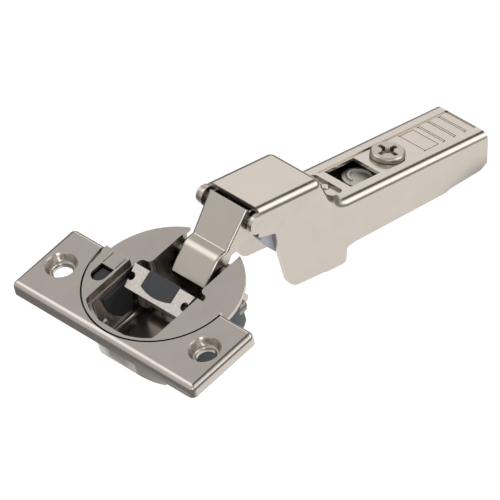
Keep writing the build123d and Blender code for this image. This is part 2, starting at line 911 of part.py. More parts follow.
def arm_top_line(drop):
    """The arm's top seen from the side, lowered by a drop: box, step and rear top."""
    slope = math.atan2(arm_step, step_foot - box_length)
    shift = drop * math.tan(slope / 2)
    rear = -arm_step - drop
    return [(box_front, -drop), (box_length - shift, -drop), (step_foot - shift, rear), (arm_length, rear)]


def on_arm_bend(edge):
    """True for an edge between the arm's top and one of its walls."""
    place = arm_level(0).to_local_coords(edge.center())
    lowest = -arm_step if place.Y > box_length else -crest_radius
    return abs(abs(place.X) - arm_half) < same and place.Y > arm_bend / 2 and place.Z > lowest - same


with BuildPart() as hinge_arm:
    with BuildSketch(arm_side(-arm_half)) as arm_outline:
        with BuildLine():
            FilletPolyline(*arm_top_line(0), radius=(crest_radius, foot_radius))
            Line((arm_length, -arm_step), wall_line[-1])
            FilletPolyline(*wall_line, radius=wall_rounds)
            Line(wall_line[0], (box_front, 0))
        make_face()
        with Locations(outer_arm_pivot):
            Circle(arm_eye)
    extrude(amount=arm_width)
    bends = hinge_arm.edges().filter_by(on_arm_bend)
    fillet(bends, arm_bend)
    with BuildSketch(arm_side(-arm_inner)) as arm_hollow:
        with BuildLine():
            lower = arm_top_line(arm_sheet)
            FilletPolyline(*lower, radius=(crest_radius - arm_sheet, foot_radius + arm_sheet))
            far = 2 * arm_length
            Polyline(
                lower[-1],
                (far, lower[-1][1]),
                (far, -far),
                (-far, -far),
                (-far, far),
                (box_front, far),
                lower[0],
            )
        make_face()
    extrude(amount=2 * arm_inner, mode=Mode.SUBTRACT)
    ledge_floor = -arm_step - ledge_depth
    with BuildSketch(arm_level(ledge_floor - arm_sheet)):
        with Locations((0, (ledge_start + ledge_end) / 2)):
            Rectangle(2 * (panel_half + ledge_side), ledge_end - ledge_start + 2 * ledge_side)
    extrude(amount=arm_sheet)
    with BuildSketch(arm_level(ledge_floor)):
        with Locations((0, (ledge_start + ledge_end) / 2)):
            RectangleRounded(2 * panel_half, ledge_end - ledge_start, ledge_corner)
    extrude(amount=arm_step, mode=Mode.SUBTRACT)
    with BuildSketch(arm_level(-arm_step)):
        panel_length = arm_length - panel_start
        with Locations((0, panel_start + panel_length / 2)):
            Rectangle(2 * panel_half, panel_length)
    extrude(amount=-panel_depth, mode=Mode.SUBTRACT)
    with BuildSketch(arm_level(panel_floor)):
        with Locations((0, (window_start + window_end) / 2)):
            Rectangle(2 * window_half, window_end - window_start)
        with Locations((0, side_screw_at)):
            Circle(side_screw_radius + side_screw_gap)
    extrude(amount=-2 * arm_sheet, mode=Mode.SUBTRACT)
    rod(arm_level(0), ledge_rivet_at, ledge_rivet_radius, -arm_step - 2 * arm_sheet, Mode.SUBTRACT)
    with BuildSketch(arm_level(panel_floor)):
        for spot in bar_spots:
            with Locations((0, spot)):
                Rectangle(2 * bar_half, bar_width)
                Rectangle(2 * bar_half - 2 * bar_groove, bar_width - 2 * bar_groove, mode=Mode.SUBTRACT)
        with Locations((0, (cell_start + cell_end) / 2)):
            Rectangle(2 * bar_half, cell_end - cell_start)
            inner_cell = cell_end - cell_start - 2 * bar_groove
            Rectangle(2 * bar_half - 2 * bar_groove, inner_cell, mode=Mode.SUBTRACT)
    extrude(amount=-bar_depth, mode=Mode.SUBTRACT)
    rod(arm_side(-arm_half), outer_arm_pivot, pin_radius, arm_width, Mode.SUBTRACT)
    rod(arm_side(-arm_half), inner_arm_pivot, pin_radius, arm_width, Mode.SUBTRACT)
hinge_arm.part.label = "hinge_arm"
export_step(hinge_arm.part, "parts/hinge_arm.step")

with BuildPart() as outer_arm_pin:
    rod(arm_side(-arm_half), outer_arm_pivot, pin_radius, arm_width)
    rod(arm_side(-arm_half - pin_head_height), outer_arm_pivot, pin_head_radius, pin_head_height)
    chamfer(outer_arm_pin.edges().filter_by(GeomType.CIRCLE).sort_by(Axis.X)[0], pin_edge)
outer_arm_pin.part.label = "outer_arm_pin"
export_step(outer_arm_pin.part, "parts/outer_arm_pin.step")

with BuildPart() as inner_arm_pin:
    rod(arm_side(-arm_half), inner_arm_pivot, pin_radius, arm_width)
inner_arm_pin.part.label = "inner_arm_pin"
export_step(inner_arm_pin.part, "parts/inner_arm_pin.step")

# Closing springs, coiled round the outer cup pin beside the link ------------------------
spring_room = neck_half - cup_wall - link_low_half
spring_pitch = spring_wire + spring_clearance
coil_length = spring_pitch * spring_turns

with BuildPart() as spring_right:
    coil_start = link_low_half + (spring_room - coil_length) / 2
    coil = Helix(
        spring_pitch,
        coil_length,
        pin_radius + spring_gap + spring_wire / 2,
        center=(coil_start, outer_cup_pivot[0], outer_cup_pivot[1]),
        direction=(1, 0, 0),
        mode=Mode.PRIVATE,
    )
    with BuildSketch(Plane(origin=coil @ 0, z_dir=coil % 0)):
        RegularPolygon(spring_wire / 2, spring_facets)
    sweep(path=coil, is_frenet=True)
spring_right.part.label = "closing_spring_right"
export_step(spring_right.part, "parts/closing_spring_right.step")
spring_left = mirror(spring_right.part, about=Plane.YZ)
spring_left.label = "closing_spring_left"
export_step(spring_left, "parts/closing_spring_left.step")

# Plastic saddle in the arm's nose -------------------------------------------------------
with BuildPart() as nose_saddle:
    with BuildSketch(arm_side(-saddle_half)) as saddle_side:
        with BuildLine():
            Polyline(*saddle_line, close=True)
        make_face()
        fillet(saddle_side.vertices(), saddle_corner)
    extrude(amount=2 * saddle_half)
    with BuildSketch(arm_side(-saddle_inner)):
        with BuildLine():
            Polyline(
                (-cut_long, 0),
                (saddle_bridge_at, 0),
                (saddle_bridge_at, -cut_long),
                (-cut_long, -cut_long),
                close=True,
            )
        make_face()
    extrude(amount=2 * saddle_inner, mode=Mode.SUBTRACT)
    rod(arm_side(-arm_half), inner_arm_pivot, pin_radius, arm_width, Mode.SUBTRACT)
nose_saddle.part.label = "nose_saddle"
export_step(nose_saddle.part, "parts/nose_saddle.step")

# Adapter channel ------------------------------------------------------------------------
adapter_half = arm_inner - adapter_gap

with BuildPart() as adapter_channel:
    with BuildSketch(arm_side(-adapter_half)) as adapter_side:
        with BuildLine():
            Polyline(
                (adapter_start, adapter_roof),
                (adapter_end, adapter_roof),
                (adapter_end, adapter_skirt + adapter_slant),
                (adapter_end - adapter_slant, adapter_skirt),
                (adapter_foot_end + adapter_slant, adapter_skirt),
                (adapter_foot_end, adapter_skirt - adapter_slant),
                (adapter_foot_end, adapter_foot),
                (adapter_foot_start, adapter_foot),
                (adapter_start, adapter_skirt),
                close=True,
            )
        make_face()
        fillet(adapter_side.vertices().filter_by(lambda v: v.Y < adapter_roof - same), adapter_corner)
    extrude(amount=2 * adapter_half)
    with BuildSketch(arm_level(adapter_roof - adapter_sheet)):
        inner_adapter = adapter_half - adapter_sheet
        with Locations((0, arm_length / 2)):
            Rectangle(2 * inner_adapter, 2 * arm_length)
    extrude(amount=-cut_long, mode=Mode.SUBTRACT)
    with BuildSketch(arm_level(adapter_roof)):
        with Locations((0, side_screw_at)):
            Circle(side_screw_radius + side_screw_gap)
        with Locations((0, cam_at)):
            Circle(cam_stud_radius + running_fit)
    extrude(amount=-adapter_sheet, mode=Mode.SUBTRACT)
    rod(arm_side(-arm_half), hook_pin_at, hook_pin_radius, arm_width, Mode.SUBTRACT)
    rod(arm_side(-arm_half), latch_pivot, latch_pin_radius, arm_width, Mode.SUBTRACT)
adapter_channel.part.label = "adapter_channel"
export_step(adapter_channel.part, "parts/adapter_channel.step")

with BuildPart() as hook_pin:
    rod(arm_side(-adapter_half), hook_pin_at, hook_pin_radius, 2 * adapter_half)
hook_pin.part.label = "hook_pin"
export_step(hook_pin.part, "parts/hook_pin.step")

with BuildPart() as ledge_rivet:
    rod(arm_level(ledge_floor), ledge_rivet_at, ledge_rivet_radius, -arm_sheet)
    rod(arm_level(ledge_floor), ledge_rivet_at, ledge_rivet_radius, ledge_rivet_rise)
    chamfer(ledge_rivet.edges().filter_by(GeomType.CIRCLE).sort_by(Axis.Z)[-1], ledge_rivet_edge)
ledge_rivet.part.label = "ledge_rivet"
export_step(ledge_rivet.part, "parts/ledge_rivet.step")

# Side adjusting screw -------------------------------------------------------------------
with BuildPart() as side_screw:
    seat = panel_floor + side_head_seat
    rod(arm_level(seat), (0, side_screw_at), side_head_radius, side_head_height)
    head_rim = side_screw.edges().filter_by(GeomType.CIRCLE).sort_by(Axis.Z)[-1]
    chamfer(head_rim, side_head_edge)
    rod(arm_level(seat), (0, side_screw_at), side_screw_radius, -side_screw_length)
    with BuildSketch(arm_level(seat + side_head_height)):
        with Locations((0, side_screw_at)):
            Rectangle(driver_slot, driver_width)
            Rectangle(driver_width, driver_slot)
            Circle(driver_core)
    extrude(amount=-driver_depth, mode=Mode.SUBTRACT, taper=driver_taper)
side_screw.part.label = "side_screw"
export_step(side_screw.part, "parts/side_screw.step")

# Depth cam under the window -------------------------------------------------------------
with BuildPart() as depth_cam:
    cam_top = adapter_roof + running_fit + cam_thick
    with BuildSketch(arm_level(cam_top)):
        with Locations((0, cam_at)):
            Circle(cam_radius)
    extrude(amount=-cam_thick)
    with BuildSketch(arm_level(cam_top)):
        with Locations((0, cam_at)):
            Circle(cam_rim_radius + cam_rim_width)
            Circle(cam_rim_radius, mode=Mode.SUBTRACT)
        with Locations((cam_radius / 2, cam_at - cam_radius / 2)):
            Rectangle(cam_radius, cam_radius, mode=Mode.SUBTRACT)
    extrude(amount=cam_rim_height)
    rod(arm_level(cam_top), (0, cam_at), cam_stud_radius, -cam_thick - adapter_sheet - cam_stud_past)
depth_cam.part.label = "depth_cam"
export_step(depth_cam.part, "parts/depth_cam.step")

# Release latch at the arm's rear --------------------------------------------------------
with BuildPart() as release_latch:
    with BuildSketch(arm_side(-latch_half)) as latch_side:
        with BuildLine():
            Polyline(*latch_line, close=True)
        make_face()
        fillet(latch_side.vertices(), latch_corner)
    extrude(amount=2 * latch_half)
    with BuildSketch(arm_side(-latch_half + latch_sheet)):
        with BuildLine():
            Polyline(*latch_hollow, close=True)
        make_face()
    extrude(amount=2 * (latch_half - latch_sheet), mode=Mode.SUBTRACT)
    rod(arm_side(-arm_half), latch_pivot, latch_pin_radius + running_fit, arm_width, Mode.SUBTRACT)
release_latch.part.label = "release_latch"
export_step(release_latch.part, "parts/release_latch.step")

with BuildPart() as latch_pin:
    rod(arm_side(-adapter_half), latch_pivot, latch_pin_radius, 2 * adapter_half)
latch_pin.part.label = "latch_pin"
export_step(latch_pin.part, "parts/latch_pin.step")
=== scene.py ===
import json
import math

import bmesh
import bpy
from mathutils import Matrix, Vector

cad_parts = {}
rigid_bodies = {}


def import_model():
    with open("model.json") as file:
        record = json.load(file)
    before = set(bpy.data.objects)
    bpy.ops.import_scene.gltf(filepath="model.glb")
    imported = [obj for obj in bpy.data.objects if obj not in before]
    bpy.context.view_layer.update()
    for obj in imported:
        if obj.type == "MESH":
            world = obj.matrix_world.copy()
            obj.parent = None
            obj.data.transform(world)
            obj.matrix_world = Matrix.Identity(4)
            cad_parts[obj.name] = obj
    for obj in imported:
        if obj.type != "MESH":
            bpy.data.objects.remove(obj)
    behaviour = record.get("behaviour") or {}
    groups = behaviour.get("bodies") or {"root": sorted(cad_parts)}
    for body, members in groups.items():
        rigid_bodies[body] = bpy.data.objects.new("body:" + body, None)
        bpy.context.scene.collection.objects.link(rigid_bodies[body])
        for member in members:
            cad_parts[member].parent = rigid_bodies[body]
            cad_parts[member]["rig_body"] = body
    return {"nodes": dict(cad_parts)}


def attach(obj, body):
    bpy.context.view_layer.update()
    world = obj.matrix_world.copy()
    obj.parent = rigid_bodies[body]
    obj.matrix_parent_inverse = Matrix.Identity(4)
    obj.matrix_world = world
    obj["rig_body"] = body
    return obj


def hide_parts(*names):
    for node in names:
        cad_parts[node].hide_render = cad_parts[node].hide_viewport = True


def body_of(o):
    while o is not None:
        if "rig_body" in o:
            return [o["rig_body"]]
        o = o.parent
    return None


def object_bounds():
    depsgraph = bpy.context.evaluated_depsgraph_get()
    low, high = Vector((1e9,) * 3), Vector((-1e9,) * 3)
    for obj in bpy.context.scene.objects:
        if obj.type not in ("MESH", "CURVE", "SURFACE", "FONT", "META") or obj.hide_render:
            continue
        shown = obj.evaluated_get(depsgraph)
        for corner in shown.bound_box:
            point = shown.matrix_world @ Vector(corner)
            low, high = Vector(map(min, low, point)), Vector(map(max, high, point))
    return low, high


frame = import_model()
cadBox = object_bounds()
print("frame loaded:", len(frame["nodes"]), "nodes")


# shader groups, each built once and placed in several materials
def newGroup(name, inputs, outputs):
    tree = bpy.data.node_groups.new(name, "ShaderNodeTree")
    for label, kind, value in inputs:
        socket = tree.interface.new_socket(name=label, in_out="INPUT", socket_type=kind)
        socket.default_value = value
    for label, kind in outputs:
        tree.interface.new_socket(name=label, in_out="OUTPUT", socket_type=kind)
    start = tree.nodes.new("NodeGroupInput")
    end = tree.nodes.new("NodeGroupOutput")
    return tree, start, end


def mathNode(tree, operation, first, second=None, clamp=False):
    node = tree.nodes.new("ShaderNodeMath")
    node.operation = operation
    node.use_clamp = clamp
    for index, value in enumerate((first, second)):
        if value is None:
            continue
        if isinstance(value, (int, float)):
            node.inputs[index].default_value = value
        else:
            tree.links.new(value, node.inputs[index])
    return node.outputs[0]


def mixColour(tree, factor, first, second, blend="MIX"):
    node = tree.nodes.new("ShaderNodeMix")
    node.data_type = "RGBA"
    node.blend_type = blend
    sockets = (node.inputs[0], node.inputs[6], node.inputs[7])
    for socket, value in zip(sockets, (factor, first, second)):
        if hasattr(value, "is_output"):
            tree.links.new(value, socket)
        else:
            socket.default_value = value
    return node.outputs[2]


def mapRange(tree, value, low, high, toLow, toHigh):
    node = tree.nodes.new("ShaderNodeMapRange")
    tree.links.new(value, node.inputs["Value"])
    node.inputs["From Min"].default_value = low
    node.inputs["From Max"].default_value = high
    node.inputs["To Min"].default_value = toLow
    node.inputs["To Max"].default_value = toHigh
    return node.outputs["Result"]


def noiseOf(tree, vector, scale, detail, rough):
    node = tree.nodes.new("ShaderNodeTexNoise")
    node.inputs["Scale"].default_value = scale
    node.inputs["Detail"].default_value = detail
    node.inputs["Roughness"].default_value = rough
    tree.links.new(vector, node.inputs["Vector"])
    return node.outputs["Fac"]


def emitted(tree, kind, strength):
    # white light of the node kind, its strength a number or a socket
    node = tree.nodes.new(kind)
    node.inputs["Color"].default_value = (1, 1, 1, 1)
    if hasattr(strength, "is_output"):
        tree.links.new(strength, node.inputs["Strength"])
    else:
        node.inputs["Strength"].default_value = strength
    return node.outputs[0]


def chosen(tree, factor, first, second):
    node = tree.nodes.new("ShaderNodeMixShader")
    for socket, value in zip(node.inputs, (factor, first, second)):
        tree.links.new(value, socket)
    return node.outputs[0]


def centred(tree, noise):
    # a noise's middle band, spread to a half on both sides of zero
    return mapRange(tree, noise, 0.3, 0.7, -0.5, 0.5)


rubLook = {"fullCosine": 0.82}  # between the two normals, where an edge counts as fully rubbed


def makeEdgeMask():
    # bright rubbed edges, from the angle between the true and a rounded normal
    tree, start, end = newGroup(
        "edgeMask",
        [("Radius", "NodeSocketFloat", 0.0003)],
        [("Mask", "NodeSocketFloat")],
    )
    bevel = tree.nodes.new("ShaderNodeBevel")
    bevel.samples = 6
    tree.links.new(start.outputs["Radius"], bevel.inputs["Radius"])
    geometry = tree.nodes.new("ShaderNodeNewGeometry")
    dot = tree.nodes.new("ShaderNodeVectorMath")
    dot.operation = "DOT_PRODUCT"
    tree.links.new(bevel.outputs["Normal"], dot.inputs[0])
    tree.links.new(geometry.outputs["Normal"], dot.inputs[1])
    edge = mapRange(tree, dot.outputs["Value"], 1.0, rubLook["fullCosine"], 0.0, 1.0)
    tree.links.new(edge, end.inputs["Mask"])
    return tree


sheetLook = {
    "lineScale": 9000.0, "lineStretch": 0.035, "cloudScale": 160.0, "grainScale": 5200.0,
    "toneClouds": 0.7, "roughClouds": 0.5, "roughGrains": 0.5, "heightGrains": 0.8,
}


def makeRolledSheet():
    # plated sheet: fine rolling lines along one way, soft clouds and small specks
    tree, start, end = newGroup(
        "rolledSheet",
        [("Line Depth", "NodeSocketFloat", 0.5), ("Tilt", "NodeSocketFloat", 0.0)],
        [("Tone", "NodeSocketFloat"), ("Rough", "NodeSocketFloat"), ("Height", "NodeSocketFloat")],
    )
    coords = tree.nodes.new("ShaderNodeTexCoord")
    turner = tree.nodes.new("ShaderNodeVectorRotate")
    turner.rotation_type = "X_AXIS"
    tree.links.new(coords.outputs["Object"], turner.inputs["Vector"])
    tree.links.new(start.outputs["Tilt"], turner.inputs["Angle"])
    stretch = tree.nodes.new("ShaderNodeMapping")
    stretch.inputs["Scale"].default_value = (1.0, sheetLook["lineStretch"], 1.0)
    tree.links.new(turner.outputs["Vector"], stretch.inputs["Vector"])
    lines = noiseOf(tree, stretch.outputs["Vector"], sheetLook["lineScale"], 2.0, 0.5)
    clouds = noiseOf(tree, turner.outputs["Vector"], sheetLook["cloudScale"], 4.0, 0.6)
    grains = noiseOf(tree, turner.outputs["Vector"], sheetLook["grainScale"], 2.0, 0.6)
    cloudTone = centred(tree, clouds)
    grainTone = centred(tree, grains)
    lineShare = mathNode(tree, "MULTIPLY", centred(tree, lines), start.outputs["Line Depth"])
    cloudShare = mathNode(tree, "MULTIPLY", cloudTone, sheetLook["toneClouds"])
    tree.links.new(mathNode(tree, "ADD", cloudShare, lineShare), end.inputs["Tone"])
    cloudRough = mathNode(tree, "MULTIPLY", cloudTone, sheetLook["roughClouds"])
    grainRough = mathNode(tree, "MULTIPLY", grainTone, sheetLook["roughGrains"])
    tree.links.new(mathNode(tree, "ADD", cloudRough, grainRough), end.inputs["Rough"])
    grainHeight = mathNode(tree, "MULTIPLY", grainTone, sheetLook["heightGrains"])
    tree.links.new(mathNode(tree, "ADD", lineShare, grainHeight), end.inputs["Height"])
    return tree


mouldLook = {"flowScale": 240.0}


def makeMouldGrain():
    # moulded plastic: spark-eroded grain and faint flow marks
    tree, start, end = newGroup(
        "mouldGrain",
        [("Grain Scale", "NodeSocketFloat", 7000.0)],
        [("Tone", "NodeSocketFloat"), ("Height", "NodeSocketFloat")],
    )
    coords = tree.nodes.new("ShaderNodeTexCoord")
    cells = tree.nodes.new("ShaderNodeTexVoronoi")
    cells.feature = "SMOOTH_F1"
    tree.links.new(coords.outputs["Object"], cells.inputs["Vector"])
    tree.links.new(start.outputs["Grain Scale"], cells.inputs["Scale"])
    flowMarks = noiseOf(tree, coords.outputs["Object"], mouldLook["flowScale"], 3.0, 0.5)
    tree.links.new(centred(tree, flowMarks), end.inputs["Tone"])
    tree.links.new(cells.outputs["Distance"], end.inputs["Height"])
    return tree


hollowLook = {"begins": 0.62, "full": 0.12}  # share of open sky where a hollow begins and is full


def makeCrevice():
    # depth of a hollow from 0 in the open to 1 deep inside, the mask for the painted shade in hollows
    tree, start, end = newGroup(
        "crevice",
        [("Reach", "NodeSocketFloat", 0.006)],
        [("Depth", "NodeSocketFloat")],
    )
    hollow = tree.nodes.new("ShaderNodeAmbientOcclusion")
    hollow.samples = 8
    tree.links.new(start.outputs["Reach"], hollow.inputs["Distance"])
    depth = mapRange(tree, hollow.outputs["AO"], hollowLook["begins"], hollowLook["full"], 0.0, 1.0)
    tree.links.new(depth, end.inputs["Depth"])
    return tree


edgeMask = makeEdgeMask()
crevice = makeCrevice()
rolledSheet = makeRolledSheet()
mouldGrain = makeMouldGrain()
print("shader groups built")


def placeGroup(tree, group, **values):
    node = tree.nodes.new("ShaderNodeGroup")
    node.node_tree = group
    for name, value in values.items():
        node.inputs[name].default_value = value
    return node


def shade(colour, gain):
    return tuple(min(1.0, max(0.0, c * gain)) for c in colour[:3]) + (1.0,)


# what all finishes share: tone's reach, the gain of the painted shade in hollows, grain's band of
# heights, bump in metres
finishLook = {
    "steelTone": 0.6, "plasticTone": 0.5, "hollowShadeGain": 0.08, "speckLow": 0.15, "speckHigh": 0.65,
    "steelBump": 0.00002, "plasticBump": 0.00003,
}


def newFinish(name):
    material = bpy.data.materials.new(name)
    material.use_nodes = True
    return material, material.node_tree, material.node_tree.nodes["Principled BSDF"]


def wornColour(tree, look, tone, reach):
    # the finish's colour, varied by a tone that runs to the reach, with its edges rubbed bright
    toneFactor = mapRange(tree, tone, -reach, reach, 0.0, 1.0)
    darker = shade(look["colour"], 1 - look["vary"])
    lighter = shade(look["colour"], 1 + look["vary"])
    base = mixColour(tree, toneFactor, darker, lighter)
    edges = placeGroup(tree, edgeMask, Radius=look["edge"])
    edgeFactor = mathNode(tree, "MULTIPLY", edges.outputs["Mask"], look["wear"], clamp=True)
    return mixColour(tree, edgeFactor, base, shade(look["colour"], look["wearGain"]))


def addBump(tree, shader, height, strength, distance):
    bump = tree.nodes.new("ShaderNodeBump")
    bump.inputs["Strength"].default_value = strength
    bump.inputs["Distance"].default_value = distance
    tree.links.new(height, bump.inputs["Height"])
    tree.links.new(bump.outputs["Normal"], shader.inputs["Normal"])


def platedSteel(name, look):
    material, tree, shader = newFinish(name)
    sheet = placeGroup(tree, rolledSheet, **{"Line Depth": look["lines"], "Tilt": look["tilt"]})
    worn = wornColour(tree, look, sheet.outputs["Tone"], finishLook["steelTone"])
    # painted shade: hollows, corners and gaps between parts darkened towards near black, where shade
    # falls
    hollow = placeGroup(tree, crevice, Reach=look["reach"])
    paintedShadeFactor = mathNode(tree, "MULTIPLY", hollow.outputs["Depth"], look["hollowShade"])
    surface = mixColour(tree, paintedShadeFactor, worn, shade(look["colour"], finishLook["hollowShadeGain"]))
    if "speck" in look:
        grain = placeGroup(tree, mouldGrain, **{"Grain Scale": look["grain"]})
        low, high = finishLook["speckLow"], finishLook["speckHigh"]
        gain = mapRange(tree, grain.outputs["Height"], low, high, 1 - look["speck"], 1 + look["speck"])
        surface = mixColour(tree, 1.0, surface, gain, "MULTIPLY")
    tree.links.new(surface, shader.inputs["Base Color"])
    roughShift = mathNode(tree, "MULTIPLY", sheet.outputs["Rough"], look["roughVary"])
    rough = mathNode(tree, "ADD", roughShift, look["rough"], clamp=True)
    tree.links.new(rough, shader.inputs["Roughness"])
    shader.inputs["Metallic"].default_value = look["metal"]
    addBump(tree, shader, sheet.outputs["Height"], look["bump"], finishLook["steelBump"])
    return material


def mouldedPlastic(name, look):
    material, tree, shader = newFinish(name)
    grain = placeGroup(tree, mouldGrain, **{"Grain Scale": look["grain"]})
    worn = wornColour(tree, look, grain.outputs["Tone"], finishLook["plasticTone"])
    tree.links.new(worn, shader.inputs["Base Color"])
    shader.inputs["Roughness"].default_value = look["rough"]
    shader.inputs["Metallic"].default_value = 0.0
    addBump(tree, shader, grain.outputs["Height"], look["bump"], finishLook["plasticBump"])
    return material


armTilt = math.radians(20)  # of the open arm, from level
cupNickel = platedSteel("cupNickel", {
    "colour": (0.55, 0.50, 0.455), "vary": 0.06, "lines": 0.25, "tilt": 0.0, "edge": 0.00025,
    "wear": 0.5, "wearGain": 1.45, "rough": 0.17, "roughVary": 0.08,
    "metal": 0.92, "bump": 0.25, "reach": 0.008, "hollowShade": 0.9,
})
armNickel = platedSteel("armNickel", {
    "colour": (0.56, 0.51, 0.45), "vary": 0.05, "lines": 0.35, "tilt": armTilt, "edge": 0.00025,
    "wear": 0.45, "wearGain": 1.3, "rough": 0.17, "roughVary": 0.08,
    "metal": 0.90, "bump": 0.25, "reach": 0.009, "hollowShade": 0.92,
})
blastNickel = platedSteel("blastNickel", {
    "colour": (0.56, 0.52, 0.475), "vary": 0.05, "lines": 0.0, "tilt": 0.0, "edge": 0.0002,
    "wear": 0.4, "wearGain": 1.2, "rough": 0.40, "roughVary": 0.08,
    "metal": 0.88, "bump": 0.3, "reach": 0.006, "hollowShade": 0.8, "grain": 2600.0, "speck": 0.11,
})
castNickel = platedSteel("castNickel", {
    "colour": (0.62, 0.58, 0.53), "vary": 0.07, "lines": 0.05, "tilt": 0.0, "edge": 0.0002,
    "wear": 0.4, "wearGain": 1.3, "rough": 0.42, "roughVary": 0.14,
    "metal": 0.88, "bump": 0.5, "reach": 0.006, "hollowShade": 0.8,
})
pinNickel = platedSteel("pinNickel", {
    "colour": (0.56, 0.51, 0.45), "vary": 0.06, "lines": 0.5, "tilt": 0.0, "edge": 0.0002,
    "wear": 0.5, "wearGain": 1.3, "rough": 0.30, "roughVary": 0.10,
    "metal": 0.95, "bump": 0.3, "reach": 0.006, "hollowShade": 0.7,
})
# dark wire: the springs' own colour, and also painted shade for the rivet ring and the punched dots
springWireAndShade = platedSteel("springWireAndShade", {
    "colour": (0.30, 0.28, 0.26), "vary": 0.10, "lines": 0.2, "tilt": 0.0, "edge": 0.0001,
    "wear": 0.2, "wearGain": 1.3, "rough": 0.35, "roughVary": 0.10,
    "metal": 1.0, "bump": 0.3, "reach": 0.006, "hollowShade": 0.7,
})
darkAcetal = mouldedPlastic("darkAcetal", {
    "colour": (0.031, 0.034, 0.037), "vary": 0.10, "edge": 0.0002, "wear": 0.5, "wearGain": 1.8,
    "rough": 0.48, "grain": 6500.0, "bump": 0.35,
})
paleAcetal = mouldedPlastic("paleAcetal", {
    "colour": (0.43, 0.45, 0.48), "vary": 0.05, "edge": 0.0002, "wear": 0.3, "wearGain": 1.2,
    "rough": 0.42, "grain": 6500.0, "bump": 0.3,
})

nodeFinish = {
    cupNickel: ("cup_shell", "cup_cover", "flange_plate"),
    blastNickel: ("damper_lever",),
    armNickel: (
        "hinge_arm", "outer_link", "inner_link", "adapter_channel", "release_latch", "ledge_rivet",
    ),
    castNickel: ("depth_cam",),
    pinNickel: (
        "outer_cup_pin", "inner_cup_pin", "outer_arm_pin", "inner_arm_pin", "lever_axle", "hook_pin",
        "latch_pin", "rivet_left", "rivet_right", "side_screw",
    ),
    springWireAndShade: ("closing_spring_left", "closing_spring_right", "damper_left", "damper_right"),
    darkAcetal: (
        "housing_left", "housing_right", "slider_left", "slider_right", "lever_pad", "switch_slide",
    ),
    paleAcetal: ("nose_saddle",),
}
for material, names in nodeFinish.items():
    for name in names:
        node = frame["nodes"][name]
        if not node.material_slots:
            node.data.materials.append(material)
        for slot in node.material_slots:
            slot.material = material
print("finishes given to every node")

# sheet and moulded pieces with their edges rounded, in place of the CAD nodes:
# each one's edge radius in metres, and the least angle that counts as an edge
edgeRounds = {
    "flange_plate": {"radius": 0.00022, "angle": 32},
    "cup_cover": {"radius": 0.00022, "angle": 32},
    "cup_shell": {"radius": 0.00018, "angle": 32},
    "damper_lever": {"radius": 0.00015, "angle": 32},
    "lever_pad": {"radius": 0.00015, "angle": 32},
    "switch_slide": {"radius": 0.00010, "angle": 25},
    "outer_link": {"radius": 0.00018, "angle": 32},
    "inner_link": {"radius": 0.00018, "angle": 32},
    "hinge_arm": {"radius": 0.00014, "angle": 32},
    "adapter_channel": {"radius": 0.00015, "angle": 32},
    "release_latch": {"radius": 0.00018, "angle": 32},
    "nose_saddle": {"radius": 0.00020, "angle": 32},
    "side_screw": {"radius": 0.00012, "angle": 25},
    "depth_cam": {"radius": 0.00015, "angle": 32},
}
# and what they share: gaps in metres, angles in degrees
roundingLook = {"segments": 2, "weldGap": 0.000002, "flatAngle": 0.6, "sharpAngle": 42}


def weld(mesh):
    # loose triangles joined, and those of one flat face dissolved into it
    shape = bmesh.new()
    shape.from_mesh(mesh)
    bmesh.ops.remove_doubles(shape, verts=shape.verts, dist=roundingLook["weldGap"])
    flat = math.radians(roundingLook["flatAngle"])
    bmesh.ops.dissolve_limit(shape, angle_limit=flat, verts=shape.verts, edges=shape.edges)
    shape.to_mesh(mesh)
    shape.free()


def meshOf(shape, name):
    mesh = bpy.data.meshes.new(name)
    shape.to_mesh(mesh)
    shape.free()
    return mesh


def skinned(rings, shape, name):
    # closed mesh over a row of rings with as many corners each
    for first, second in zip(rings, rings[1:]):
        for k in range(len(first)):
            shape.faces.new((first[k - 1], first[k], second[k], second[k - 1]))
    shape.faces.new(rings[0])
    shape.faces.new(reversed(rings[-1]))
    bmesh.ops.recalc_face_normals(shape, faces=shape.faces)
    return meshOf(shape, name)


def settle(piece):
    # the piece's modifiers worked into its mesh
    bpy.context.view_layer.update()
    solved = piece.evaluated_get(bpy.context.evaluated_depsgraph_get())
    mesh = bpy.data.meshes.new_from_object(solved)
    piece.modifiers.clear()
    piece.data = mesh


def placed(name, mesh):
    piece = bpy.data.objects.new(name, mesh)
    bpy.context.scene.collection.objects.link(piece)
    return piece


linkLook = {  # in millimetres, in the cup's own Y and Z
    "corners": ((2.0, -9.663), (12.7, -0.9), (15.35, -1.0), (33.0, 14.942)),
    "radii": (3.6, 0.6),
    "low": (6.9, -5.65), "top": (23.1, 6.0),
    "lowHalf": 5.45, "topHalf": 6.45, "flareShort": 1.5, "depth": 18.0,
    "sideRound": 0.78, "sideSteps": 8, "shave": 0.012, "steps": 12,
}


def bentLine(corners, radii, steps):
    # the corners joined by straight runs, with an arc of the given radius at each inner one
    line = [Vector(corners[0])]
    for before, corner, after, radius in zip(corners, corners[1:], corners[2:], radii):
        corner = Vector(corner)
        back = (Vector(before) - corner).normalized()
        ahead = (Vector(after) - corner).normalized()
        half = back.angle(ahead) / 2
        centre = corner + (back + ahead).normalized() * radius / math.sin(half)
        start = corner + back * radius / math.tan(half) - centre
        turn = start.angle_signed(corner + ahead * radius / math.tan(half) - centre)
        for step in range(steps + 1):
            line.append(centre + Matrix.Rotation(-turn * step / steps, 2) @ start)
    line.append(Vector(corners[-1]))
    return line


